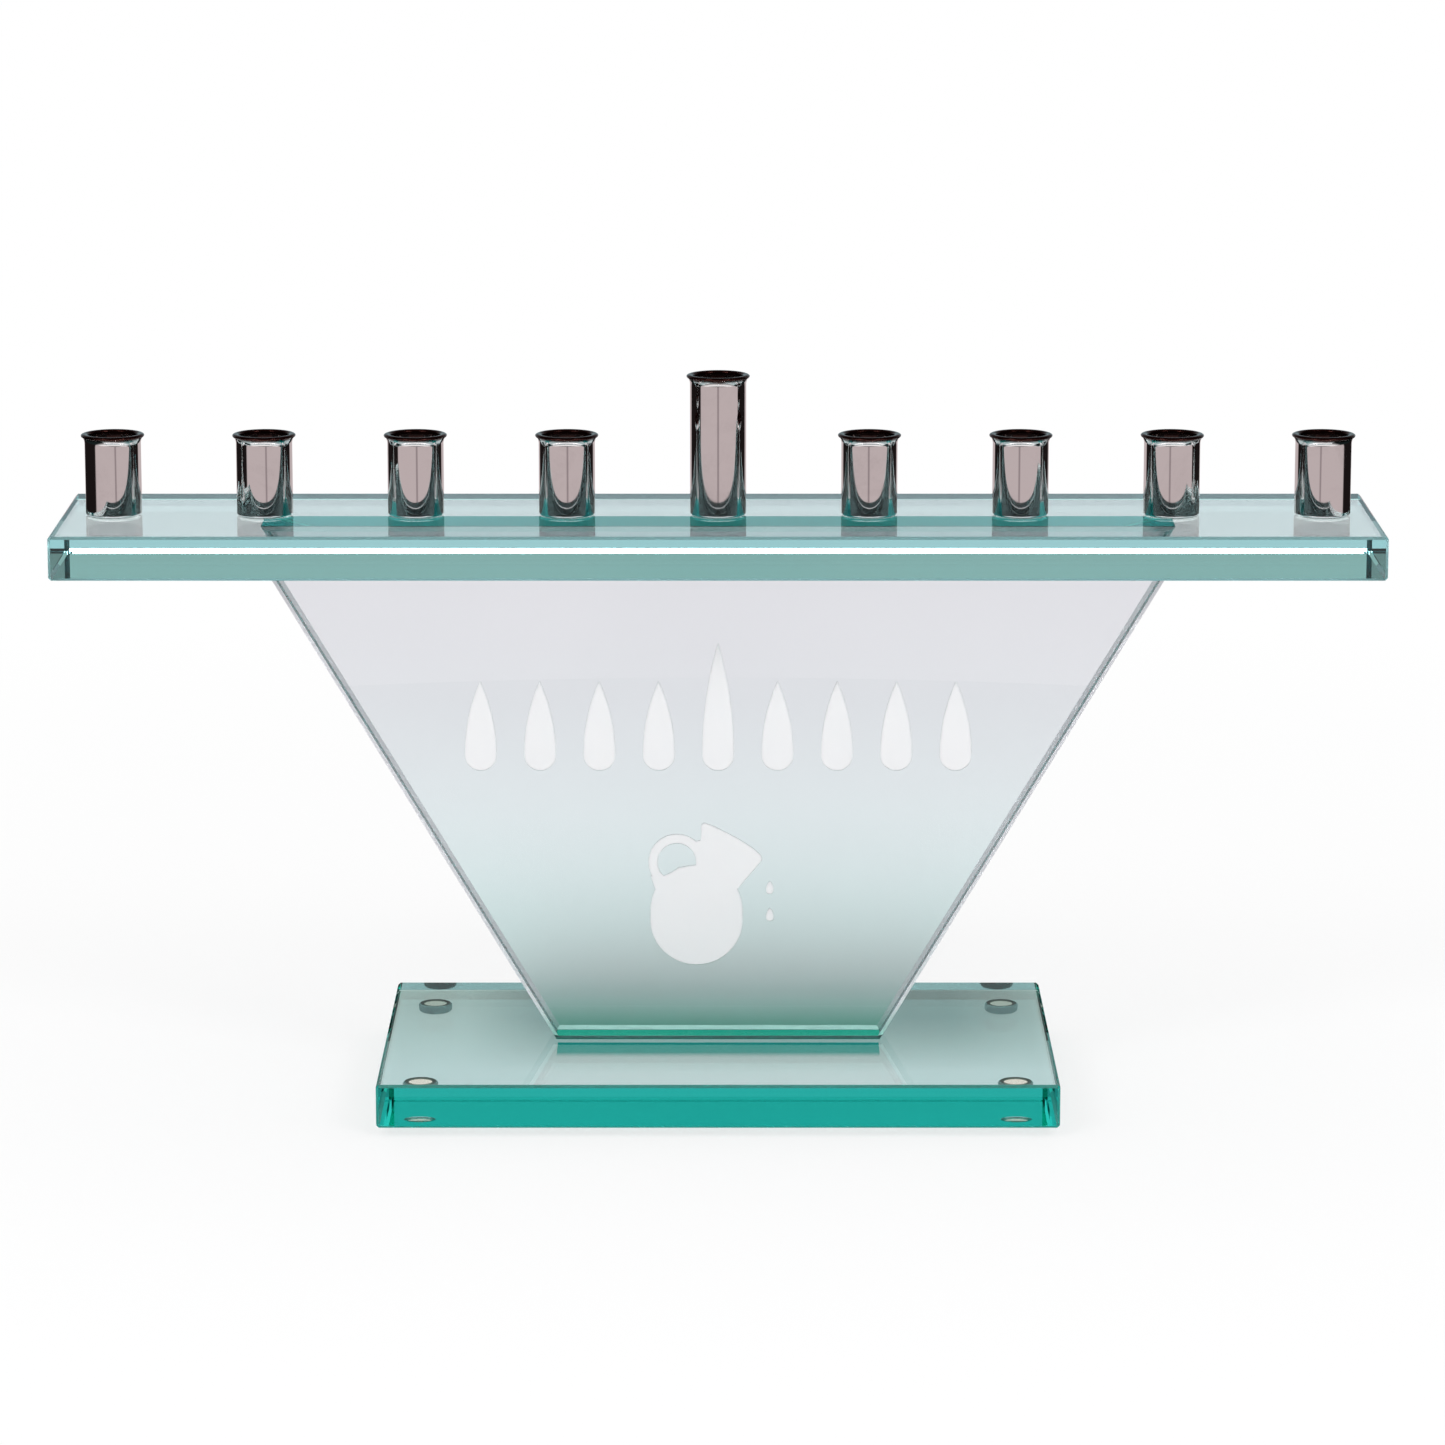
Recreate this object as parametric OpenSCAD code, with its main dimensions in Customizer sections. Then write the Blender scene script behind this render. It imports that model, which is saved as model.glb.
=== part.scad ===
// Glass menorah: a base plate, a tapered upright panel, a shelf and nine metal candle cups.
// Sizes are in millimetres. X runs along the shelf, +Z is up and the front looks towards -Y.
// The origin is on the table, under the middle of the base.

/* [Base plate] */
// Width of the base plate, left to right
base_w = 154; // [130:1:200]
// Depth of the base plate, front to back
base_d = 95; // [70:1:140]
// Thickness of the base plate
base_t = 10; // [6:0.5:19]

/* [Upright panel] */
// Width of the panel where it stands on the base
panel_foot_w = 75; // [60:1:120]
// Width of the panel where it carries the shelf
panel_head_w = 208; // [140:1:260]
// Height of the panel
panel_h = 111.6; // [100:0.2:160]
// Thickness of the panel
panel_t = 15; // [10:0.5:25]

/* [Candle shelf] */
// Length of the shelf
shelf_l = 300; // [240:1:420]
// Depth of the shelf, front to back
shelf_d = 60; // [30:1:90]
// Thickness of the shelf
shelf_t = 10; // [6:0.5:19]

/* [Glass edges] */
// Width of the ground chamfer on the edges of the base and the shelf
plate_arris = 0.6; // [0.2:0.1:2]
// Width of the ground chamfer on the edges of the panel
panel_arris = 0.9; // [0.2:0.1:3]

/* [Clear bonds] */
// Thickness of the clear film above and below the panel
bond_t = 0.2; // [0.1:0.05:1]
// Thickness of the clear film under each cup
cup_bond_t = 0.2; // [0.1:0.05:1]

/* [Candle cups] */
// Outside diameter of a cup
cup_d = 12.8; // [11:0.1:20]
// Wall thickness of a cup
cup_wall = 0.8; // [0.4:0.1:1.5]
// Thickness of a cup's floor
cup_floor = 1; // [0.4:0.1:3]
// Height of the eight short cups
cup_h = 18.6; // [10:0.2:40]
// Height of the servant cup in the middle
servant_h = 32.2; // [15:0.2:60]
// Radius of the edge round a cup's foot
cup_edge_r = 0.4; // [0.2:0.1:1.4]
// How far the rolled lip stands out past the cup's wall
lip_out = 0.8; // [0.3:0.1:2]
// Thickness of the rolled lip
lip_t = 0.8; // [0.4:0.1:1.4]
// Width of the chamfer that leads a candle into the cup
mouth_chamfer = 0.4; // [0.1:0.1:0.7]
// Distance from the middle of the last cup to the shelf's end
cup_end_inset = 12; // [8:0.5:20]

/* [Bumper feet] */
// Diameter of a foot
foot_d = 8; // [5:0.5:14]
// Height of a foot below its tape
foot_h = 1.85; // [1.2:0.05:5]
// Radius of the edge round a foot's underside
foot_edge_r = 0.9; // [0.2:0.1:1.1]
// Diameter of the adhesive tape on a foot
tape_d = 7.4; // [4:0.2:13]
// Thickness of the adhesive tape on a foot
tape_t = 0.15; // [0.05:0.05:0.5]
// Distance from the middle of a foot to the end of the base
foot_inset_x = 9.5; // [7:0.5:30]
// Distance from the middle of a foot to the front or back of the base
foot_inset_y = 12; // [7:0.5:30]

/* [Sandblasted figures] */
// Depth of the figures in the panel's front face
etch_depth = 0.3; // [0.1:0.1:1]
// Radius of the jug's belly
jug_r = 10.7; // [6:0.1:13]
// Place of the middle of the belly, left or right of the panel's middle
jug_x = -5; // [-10:0.2:10]
// Height of the middle of the belly above the panel's foot
jug_z = 28.5; // [18:0.1:35]
// Height of the jug's shoulders above the middle of the belly
shoulder_rise = 2.2; // [0:0.1:3]
// Outside radius of the jug's handle
handle_r = 6.6; // [4:0.1:8]
// Width of the jug's handle
handle_w = 2.2; // [1:0.1:3]
// Width of a falling oil drop
drop_w = 1.9; // [1:0.1:3]
// Height of a falling oil drop
drop_h = 3.2; // [2:0.1:5]
// Place of the drops, right of the middle of the belly
drop_x = 16.9; // [15:0.1:20]
// Height of the upper drop above the middle of the belly
drop_z = 6; // [2:0.1:10]
// Distance from the upper drop down to the lower one
drop_step = 6.4; // [4:0.1:9]
// Width of a flame
flame_w = 7.4; // [4:0.2:9]
// Height of the eight outer flames
flame_h = 21; // [12:0.5:30]
// Height of the flame in the middle
servant_flame_h = 30; // [14:0.5:36]
// Distance from one flame to the next
flame_pitch = 13.6; // [10:0.2:16]
// Distance from the panel's head down to the foot of the flames
flame_drop = 48; // [34:1:60]

/* [Hidden] */
$fn = 96;
// Lights on each side of the servant light
side_lights = 4;
// Overlap that lets a cut pass cleanly through a face
cut = 1;

base_z = foot_h + tape_t;
lower_bond_z = base_z + base_t;
panel_z = lower_bond_z + bond_t;
upper_bond_z = panel_z + panel_h;
shelf_z = upper_bond_z + bond_t;
cup_bond_z = shelf_z + shelf_t;
cup_z = cup_bond_z + cup_bond_t;

cup_r = cup_d / 2;
bore_r = cup_r - cup_wall;
lip_r = cup_r + lip_out;
cup_pitch = (shelf_l / 2 - cup_end_inset) / side_lights;
foot_x = base_w / 2 - foot_inset_x;
foot_y = base_d / 2 - foot_inset_y;
panel_mid_w = (panel_foot_w + panel_head_w) / 2;
panel_lean = atan((panel_head_w - panel_foot_w) / 2 / panel_h);
panel_edge_l = norm([(panel_head_w - panel_foot_w) / 2, panel_h]);
// The films reach to the chamfers of the panel's end faces and to the rounded edges of the cups
bond_d = panel_t - 2 * panel_arris;
cup_bond_r = cup_r - cup_edge_r;

// Shoulder, neck and pouring lip of the jug, in radii of its belly
jug_neck = [
    [-0.88, 0.65], [-0.99, 0.96], [-0.72, 0.96], [-0.51, 1.06], [-0.37, 1.16], [-0.03, 1.17], [0, 1.25],
    [0, 1.73], [0.09, 1.75], [0.10, 2.07], [0.14, 2.13], [0.19, 2.13], [0.38, 2.06], [0.86, 1.81],
    [1.10, 1.66], [1.25, 1.55], [1.37, 1.44], [1.42, 1.36], [1.40, 1.29], [0.94, 0.74], [0.90, 0.68]
];
// Middle of the jug's handle, in radii of its belly
handle_mid = [-0.42, 1.27];

// Middle of the cup that stands n places right of the servant cup
function cup_x(n) = n * cup_pitch;
// Places of the eight short cups, numbered from the left
short_places = [for (n = [-side_lights : side_lights]) if (n != 0) n];

glass_green = [0.55, 0.83, 0.80, 0.6];
frosted_green = [0.84, 0.89, 0.90, 0.8];
clear_film = [0.92, 0.96, 0.96, 0.5];
polished_metal = [0.62, 0.58, 0.58];

// Rectangle with its four corners cut off at 45 degrees
module chamfered_rect(w, h, c) {
    polygon([
        [c - w / 2, -h / 2], [w / 2 - c, -h / 2],
        [w / 2, c - h / 2], [w / 2, h / 2 - c],
        [w / 2 - c, h / 2], [c - w / 2, h / 2],
        [-w / 2, h / 2 - c], [-w / 2, c - h / 2]
    ]);
}

// Glass plate standing on z = 0, with a ground chamfer along all twelve edges
module ground_plate(w, d, t, c) {
    translate([0, 0, t / 2])
        intersection() {
            linear_extrude(height = t, center = true)
                chamfered_rect(w, d, c);
            rotate([90, 0, 0])
                linear_extrude(height = d, center = true)
                    chamfered_rect(w, t, c);
            rotate([90, 0, 90])
                linear_extrude(height = w, center = true)
                    chamfered_rect(d, t, c);
        }
}

// Square bar along Z that cuts a chamfer of width c along the edge it is centred on
module chamfer_bar(length, c) {
    side = c * sqrt(2);
    rotate([0, 0, 45])
        cube([side, side, length], center = true);
}

// Pointed drop of light or oil, standing on the origin
module drop_shape(w, h) {
    r = w / 2;
    tip = h - r;
    side_r = (tip * tip + r * r) / w;
    translate([0, r]) {
        circle(r = r);
        intersection() {
            translate([side_r - r, 0])
                circle(r = side_r);
            translate([r - side_r, 0])
                circle(r = side_r);
            translate([-r, 0])
                square([w, tip]);
        }
    }
}

// Tilted oil jug, with the origin in the middle of its belly
module jug_shape() {
    circle(r = jug_r);
    translate([0, shoulder_rise])
        circle(r = jug_r);
    polygon([for (p = jug_neck) p * jug_r]);
    translate(handle_mid * jug_r)
        difference() {
            circle(r = handle_r);
            circle(r = handle_r - handle_w);
        }
}

// All the sandblasted figures, drawn on the panel's face with the origin at its foot
module figures() {
    translate([jug_x, jug_z]) {
        jug_shape();
        // Two drops fall from the pouring lip
        for (z = [drop_z, drop_z - drop_step])
            translate([drop_x, z])
                drop_shape(drop_w, drop_h);
    }
    for (n = [-side_lights : side_lights])
        translate([n * flame_pitch, panel_h - flame_drop])
            drop_shape(flame_w, n == 0 ? servant_flame_h : flame_h);
}

module base_plate() {
    color(glass_green)
        translate([0, 0, base_z])
            ground_plate(base_w, base_d, base_t, plate_arris);
}

module upright_panel() {
    color(frosted_green)
        translate([0, 0, panel_z])
            difference() {
                rotate([90, 0, 0])
                    linear_extrude(height = panel_t, center = true)
                        polygon([
                            [-panel_foot_w / 2, 0], [panel_foot_w / 2, 0],
                            [panel_head_w / 2, panel_h], [-panel_head_w / 2, panel_h]
                        ]);
                for (front = [-1, 1]) {
                    for (side = [-1, 1])
                        translate([side * panel_mid_w / 2, front * panel_t / 2, panel_h / 2])
                            rotate([0, side * panel_lean, 0])
                                chamfer_bar(panel_edge_l + 2 * panel_t, panel_arris);
                    for (end = [0, panel_h])
                        translate([0, front * panel_t / 2, end])
                            rotate([0, 90, 0])
                                chamfer_bar(panel_head_w + 2 * panel_t, panel_arris);
                }
                translate([0, etch_depth - panel_t / 2, 0])
                    rotate([90, 0, 0])
                        linear_extrude(height = etch_depth + cut)
                            figures();
            }
}

module candle_shelf() {
    color(glass_green)
        translate([0, 0, shelf_z])
            ground_plate(shelf_l, shelf_d, shelf_t, plate_arris);
}

// Clear film between the panel's end face and a plate
module bond_film(w, z) {
    color(clear_film)
        translate([-w / 2, -bond_d / 2, z])
            cube([w, bond_d, bond_t]);
}

// Spun metal cup standing on the origin, with a rolled lip and a plain bore
module candle_cup(h) {
    color(polished_metal)
        rotate_extrude()
            difference() {
                union() {
                    square([cup_r - cup_edge_r, h]);
                    translate([0, cup_edge_r])
                        square([cup_r, h - cup_edge_r]);
                    translate([cup_r - cup_edge_r, cup_edge_r])
                        circle(r = cup_edge_r);
                    // Rolled lip
                    translate([0, h - lip_t])
                        square([lip_r - lip_t / 2, lip_t]);
                    translate([lip_r - lip_t / 2, h - lip_t / 2])
                        circle(d = lip_t);
                }
                translate([0, cup_floor])
                    square([bore_r, h]);
                // Lead-in chamfer at the mouth
                polygon([
                    [bore_r - cut, h - mouth_chamfer - cut],
                    [bore_r + mouth_chamfer + cut, h + cut],
                    [bore_r - cut, h + cut]
                ]);
            }
}

// Short cup, numbered from the left
module short_cup(number) {
    translate([cup_x(short_places[number - 1]), 0, cup_z])
        candle_cup(cup_h);
}

module servant_cup() {
    translate([0, 0, cup_z])
        candle_cup(servant_h);
}

// Clear film under the cup that stands n places right of the servant cup
module cup_bond(n) {
    color(clear_film)
        translate([cup_x(n), 0, cup_bond_z])
            cylinder(r = cup_bond_r, h = cup_bond_t);
}

// Clear bumper with a rounded underside; side and front are -1 or 1
module bumper_foot(side, front) {
    foot_r = foot_d / 2;
    color(clear_film)
        translate([side * foot_x, front * foot_y, 0])
            rotate_extrude()
                union() {
                    square([foot_r - foot_edge_r, foot_h]);
                    translate([0, foot_edge_r])
                        square([foot_r, foot_h - foot_edge_r]);
                    translate([foot_r - foot_edge_r, foot_edge_r])
                        circle(r = foot_edge_r);
                }
}

// Adhesive tape between a bumper and the base
module foot_tape(side, front) {
    color(clear_film)
        translate([side * foot_x, front * foot_y, foot_h])
            cylinder(d = tape_d, h = tape_t);
}

base_plate();
upright_panel();
candle_shelf();
bond_film(panel_foot_w, lower_bond_z);  // lower_bond
bond_film(panel_head_w, upper_bond_z);  // upper_bond
short_cup(1);  // candle_cup_1
short_cup(2);  // candle_cup_2
short_cup(3);  // candle_cup_3
short_cup(4);  // candle_cup_4
servant_cup();
short_cup(5);  // candle_cup_5
short_cup(6);  // candle_cup_6
short_cup(7);  // candle_cup_7
short_cup(8);  // candle_cup_8
cup_bond(short_places[0]);  // cup_bond_1
cup_bond(short_places[1]);  // cup_bond_2
cup_bond(short_places[2]);  // cup_bond_3
cup_bond(short_places[3]);  // cup_bond_4
cup_bond(0);  // servant_bond
cup_bond(short_places[4]);  // cup_bond_5
cup_bond(short_places[5]);  // cup_bond_6
cup_bond(short_places[6]);  // cup_bond_7
cup_bond(short_places[7]);  // cup_bond_8
bumper_foot(-1, -1);  // foot_front_left
bumper_foot(1, -1);  // foot_front_right
bumper_foot(-1, 1);  // foot_rear_left
bumper_foot(1, 1);  // foot_rear_right
foot_tape(-1, -1);  // foot_tape_front_left
foot_tape(1, -1);  // foot_tape_front_right
foot_tape(-1, 1);  // foot_tape_rear_left
foot_tape(1, 1);  // foot_tape_rear_right
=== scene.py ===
import math

import bmesh
import bpy
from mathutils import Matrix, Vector


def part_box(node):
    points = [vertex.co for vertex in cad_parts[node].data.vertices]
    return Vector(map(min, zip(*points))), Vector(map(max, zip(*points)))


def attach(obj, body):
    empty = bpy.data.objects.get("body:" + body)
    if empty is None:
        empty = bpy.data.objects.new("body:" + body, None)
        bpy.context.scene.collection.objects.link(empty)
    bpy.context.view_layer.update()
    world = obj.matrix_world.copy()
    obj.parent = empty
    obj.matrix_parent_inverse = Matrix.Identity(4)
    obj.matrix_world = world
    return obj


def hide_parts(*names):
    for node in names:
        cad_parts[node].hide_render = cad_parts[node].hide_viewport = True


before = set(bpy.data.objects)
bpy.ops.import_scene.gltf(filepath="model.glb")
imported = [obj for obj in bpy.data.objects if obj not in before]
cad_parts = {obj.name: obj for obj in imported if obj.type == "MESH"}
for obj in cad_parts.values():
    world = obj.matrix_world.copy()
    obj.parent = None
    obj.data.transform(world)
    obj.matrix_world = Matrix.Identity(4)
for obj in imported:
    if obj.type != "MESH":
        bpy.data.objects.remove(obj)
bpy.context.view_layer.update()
scene = bpy.context.scene
print("frame loaded,", len(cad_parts), "nodes")

mm = 0.001


# Small tools for modelling by hand

modelling = {
    "mergeGap": 0.001 * mm,     # points nearer than this are one point
    "flatGap": 0.01 * mm,       # faces this near to a plane lie in it
    "smoothAngle": 35,          # degrees
    "arcSteps": 8,
    "spinSteps": 64,
}


def startFresh():
    if bpy.context.mode != "OBJECT":
        bpy.ops.object.mode_set(mode="OBJECT")
    bpy.ops.object.select_all(action="DESELECT")


def takePiece(name):
    piece = bpy.context.object
    piece.name = name
    piece.data.name = name
    return piece


def editAll():
    bpy.ops.object.mode_set(mode="EDIT")
    bpy.ops.mesh.select_all(action="SELECT")


def pickFaces(test):
    bpy.ops.mesh.select_mode(type="FACE")
    bpy.ops.mesh.select_all(action="DESELECT")
    mesh = bpy.context.edit_object.data
    shape = bmesh.from_edit_mesh(mesh)
    for face in shape.faces:
        face.select_set(test(face.calc_center_median(), face.normal))
    bmesh.update_edit_mesh(mesh)


def keepPicked():
    bpy.ops.mesh.select_all(action="INVERT")
    bpy.ops.mesh.delete(type="FACE")
    bpy.ops.mesh.select_all(action="SELECT")


def arc(midX, midZ, radius, start, end, steps=modelling["arcSteps"]):
    turns = [math.radians(start + (end - start) * i / steps) for i in range(steps + 1)]
    return [(midX + radius * math.cos(a), midZ + radius * math.sin(a)) for a in turns]


def spinProfile(name, profile, steps=modelling["spinSteps"]):
    startFresh()
    bpy.ops.mesh.primitive_plane_add(size=mm)
    piece = takePiece(name)
    editAll()
    bpy.ops.mesh.merge(type="CENTER")                   # one point, led along the profile
    bpy.ops.mesh.select_mode(type="VERT")
    bpy.ops.mesh.select_all(action="SELECT")
    last = Vector((0, 0, 0))
    for i, (x, z) in enumerate(profile):
        step = Vector((x, 0, z)) - last
        if i == 0:
            bpy.ops.transform.translate(value=step)
        elif step.length > modelling["mergeGap"]:
            bpy.ops.mesh.extrude_region_move(TRANSFORM_OT_translate={"value": step})
        last = Vector((x, 0, z))
    bpy.ops.mesh.select_all(action="SELECT")
    bpy.ops.mesh.spin(steps=steps, angle=2 * math.pi, center=(0, 0, 0), axis=(0, 0, 1))
    bpy.ops.mesh.select_all(action="SELECT")
    bpy.ops.mesh.remove_doubles(threshold=modelling["mergeGap"])
    bpy.ops.mesh.normals_make_consistent(inside=False)
    bpy.ops.object.mode_set(mode="OBJECT")
    bpy.ops.object.shade_smooth_by_angle(angle=math.radians(modelling["smoothAngle"]))
    return piece


def bevelledBox(name, place, size, edge, segments):
    startFresh()
    bpy.ops.mesh.primitive_cube_add(size=1, location=place, scale=size)
    piece = takePiece(name)
    bpy.ops.object.transform_apply(location=True, rotation=True, scale=True)
    editAll()
    bpy.ops.mesh.bevel(offset=edge, segments=segments, affect="EDGES")
    bpy.ops.object.mode_set(mode="OBJECT")
    return piece


def middle(node):
    low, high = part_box(node)
    return (low + high) / 2


def half(node):
    low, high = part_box(node)
    return (high - low) / 2


def copyOnto(pattern, name, node):
    startFresh()
    pattern.select_set(True)
    bpy.context.view_layer.objects.active = pattern
    bpy.ops.object.duplicate(linked=False)
    copy = takePiece(name)
    copy.location = middle(node) - Vector((0, 0, half(node).z))     # patterns stand on their origin
    bpy.ops.object.transform_apply(location=True, rotation=True, scale=True)
    return copy


def fit(piece, material, slotName, *nodes):
    piece.data.materials.clear()
    piece.data.materials.append(material)
    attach(piece, "root")
    if nodes:
        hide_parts(*nodes)


# Camera at the photograph's viewing angle

view = {
    "place": (0.001, -1.322, 0.358),
    "tiltDown": 11.646,     # degrees below the horizon
    "lens": 146.1,
    "sensor": 36,
    "clipStart": 0.01,
}


def setCamera():
    startFresh()
    turn = (math.radians(90 - view["tiltDown"]), 0, 0)
    bpy.ops.object.camera_add(location=view["place"], rotation=turn)
    camera = bpy.context.object
    camera.name = "photoCamera"
    camera.data.sensor_width = view["sensor"]
    camera.data.lens = view["lens"]
    camera.data.clip_start = view["clipStart"]
    scene.camera = camera
    print("camera set")


# Small tools for materials

def put(tree, kind, inputs=None, **settings):
    node = tree.nodes.new(kind)
    for key, value in settings.items():
        setattr(node, key, value)
    for key, value in (inputs or {}).items():
        if isinstance(value, bpy.types.NodeSocket):
            tree.links.new(value, node.inputs[key])
        else:
            node.inputs[key].default_value = value
    return node


def calc(tree, operation, *values):
    inputs = dict(enumerate(values))
    return put(tree, "ShaderNodeMath", inputs, operation=operation).outputs[0]


def vectorCalc(tree, operation, *values):
    inputs = dict(enumerate(values))
    results = put(tree, "ShaderNodeVectorMath", inputs, operation=operation).outputs
    return results["Value" if operation == "LENGTH" else "Vector"]


def chain(tree, operation, masks):
    result = masks[0]
    for mask in masks[1:]:
        result = calc(tree, operation, result, mask)
    return result


def allOf(tree, *masks):
    return chain(tree, "MULTIPLY", masks)


def anyOf(tree, *masks):
    return chain(tree, "MAXIMUM", masks)


def notOf(tree, mask):
    return calc(tree, "SUBTRACT", 1.0, mask)


def countIs(tree, count, number):
    return calc(tree, "COMPARE", count, number, 0.5)


def countOver(tree, count, number):
    return calc(tree, "GREATER_THAN", count, number + 0.5)


def within(tree, value, low, high):
    return calc(tree, "COMPARE", value, (low + high) / 2, (high - low) / 2)


def clip(tree, value, low, high):
    inputs = {"Value": value, "From Min": low, "From Max": high}
    return put(tree, "ShaderNodeMapRange", inputs).outputs["Result"]


def blend(tree, share, first, second):
    inputs = {"Factor": share, "A": first, "B": second}
    return put(tree, "ShaderNodeMix", inputs, data_type="RGBA").outputs["Result"]


def toneRamp(tree, value, stops):
    ramp = put(tree, "ShaderNodeValToRGB", {"Fac": value})
    elements = ramp.color_ramp.elements
    while len(elements) < len(stops):
        elements.new(0.5)
    for element, (place, tone) in zip(elements, stops):
        element.position = place
        element.color = tone
    return ramp.outputs["Color"]


def noise(tree, place, scale, detail, rough=0.5, twist=0.0):
    return put(tree, "ShaderNodeTexNoise", {
        "Vector": place, "Scale": scale, "Detail": detail, "Roughness": rough, "Distortion": twist,
    }).outputs["Fac"]


def objectPlace(tree):
    return put(tree, "ShaderNodeTexCoord").outputs["Object"]


def axes(tree, vector):
    return put(tree, "ShaderNodeSeparateXYZ", {0: vector}).outputs


def lightPath(tree):
    return put(tree, "ShaderNodeLightPath").outputs


def newGroup(name, inputs, outputs):
    group = bpy.data.node_groups.new(name, "ShaderNodeTree")
    for label, (kind, value) in inputs.items():
        socket = group.interface.new_socket(label, in_out="INPUT", socket_type="NodeSocket" + kind)
        socket.default_value = value
    for label in outputs:
        group.interface.new_socket(label, in_out="OUTPUT", socket_type="NodeSocketFloat")
    return group, group.nodes.new("NodeGroupInput").outputs, group.nodes.new("NodeGroupOutput").inputs


def useGroup(tree, group, **inputs):
    return put(tree, "ShaderNodeGroup", inputs, node_tree=group).outputs


def emptyMaterial(name):
    material = bpy.data.materials.new(name)
    material.use_nodes = True
    tree = material.node_tree
    tree.nodes.clear()
    return material, tree


def newMaterial(name):
    material, tree = emptyMaterial(name)
    shader = put(tree, "ShaderNodeBsdfPrincipled", name="shader")
    put(tree, "ShaderNodeOutputMaterial", {"Surface": shader.outputs["BSDF"]}, name="result")
    return material, tree, shader.inputs


def makeClear(shader, ior):
    shader["Transmission Weight"].default_value = 1.0
    shader["IOR"].default_value = ior


def absorbIn(tree, tint, density):
    volume = put(tree, "ShaderNodeVolumeAbsorption", {"Color": tint, "Density": density})
    tree.links.new(volume.outputs[0], tree.nodes["result"].inputs["Volume"])


# Shared effects

def boxPatchGroup():
    group, take, give = newGroup("boxPatch", {
        "middle": ("Vector", (0, 0, 0)),
        "half": ("Vector", (10 * mm, 10 * mm, 10 * mm)),
    }, ["mask"])
    away = vectorCalc(group, "SUBTRACT", objectPlace(group), take["middle"])
    over = vectorCalc(group, "SUBTRACT", vectorCalc(group, "ABSOLUTE", away), take["half"])
    most = anyOf(group, *axes(group, over))
    group.links.new(calc(group, "LESS_THAN", most, 0.0), give["mask"])
    return group


def footPatchGroup():
    group, take, give = newGroup("footPatch", {
        "middle": ("Vector", (0, 0, 0)),
        "radius": ("Float", 4 * mm),
        "reach": ("Float", 0.2 * mm),
    }, ["mask"])
    corner = vectorCalc(group, "ABSOLUTE", objectPlace(group))      # four corners folded onto one
    x, y, z = axes(group, vectorCalc(group, "SUBTRACT", corner, take["middle"]))
    flat = put(group, "ShaderNodeCombineXYZ", {0: x, 1: y}).outputs[0]
    inside = calc(group, "LESS_THAN", vectorCalc(group, "LENGTH", flat), take["radius"])
    level = calc(group, "LESS_THAN", calc(group, "ABSOLUTE", z), take["reach"])
    group.links.new(allOf(group, inside, level), give["mask"])
    return group


def groundArrisGroup():
    group, take, give = newGroup("groundArris", {
        "middle": ("Vector", (0, 0, 0)),
        "half": ("Vector", (10 * mm, 10 * mm, 10 * mm)),
        "width": ("Float", 0.6 * mm),
    }, ["mask"])
    away = vectorCalc(group, "SUBTRACT", objectPlace(group), take["middle"])
    gaps = vectorCalc(group, "SUBTRACT", take["half"], vectorCalc(group, "ABSOLUTE", away))
    x, y, z = axes(group, gaps)
    whole = calc(group, "ADD", calc(group, "ADD", x, y), z)
    nearTwo = calc(group, "SUBTRACT", whole, anyOf(group, x, y, z))     # small only along an edge
    group.links.new(calc(group, "LESS_THAN", nearTwo, take["width"]), give["mask"])
    return group


handling = {
    "smearDetail": 4.0,
    "smearRough": 0.6,
    "smearTwist": 0.8,
    "fineDetail": 2.0,
    "spots": (0.48, 0.72),      # below the first value a smear leaves no haze
}


def handlingGroup():
    group, take, give = newGroup("handlingMarks", {
        "smear": ("Float", 60.0),
        "fine": ("Float", 900.0),
    }, ["haze"])
    place = objectPlace(group)
    smear = noise(
        group, place, take["smear"], handling["smearDetail"], handling["smearRough"], handling["smearTwist"],
    )
    fine = noise(group, place, take["fine"], handling["fineDetail"])
    spots = clip(group, smear, *handling["spots"])
    group.links.new(allOf(group, spots, fine), give["haze"])
    return group


blasting = {
    "detail": 3.0,
    "grainRough": 0.7,
}


def sandblastGroup():
    group, take, give = newGroup("sandblastGrain", {
        "grain": ("Float", 3200.0),
        "cloud": ("Float", 45.0),
    }, ["grain", "cloud"])
    place = objectPlace(group)
    grain = noise(group, place, take["grain"], blasting["detail"], blasting["grainRough"])
    group.links.new(grain, give["grain"])
    group.links.new(noise(group, place, take["cloud"], blasting["detail"]), give["cloud"])
    return group


boxPatch = boxPatchGroup()
footPatch = footPatchGroup()
groundArris = groundArrisGroup()
handlingMarks = handlingGroup()
sandblastGrain = sandblastGroup()
print("shared effects made")


# Bonds: where two clear pieces are stuck together, the film joins them into one optical body

bonding = {
    "reach": 0.05 * mm,     # how far the bonded zone goes past the film's faces
    "inset": 0.02 * mm,     # gap that keeps faces from lying in one plane
    "tapeRim": 0.1 * mm,    # rim of a foot's tape that stays visible
}


def bondZone(node):
    inner = half(node) - Vector((bonding["inset"], bonding["inset"], -bonding["reach"]))
    return {"middle": tuple(middle(node)), "half": tuple(inner)}


def footZone(node, rim, reach):
    return {"middle": tuple(middle(node)), "radius": half(node).x - rim, "reach": half(node).z + reach}


def tapeZone():
    return footZone("foot_tape_rear_right", bonding["tapeRim"], bonding["reach"])


def clearWhere(tree, shader, *masks):
    tree.links.new(notOf(tree, anyOf(tree, *masks)), shader["Alpha"])


# Green float glass of the base and the shelf

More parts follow.
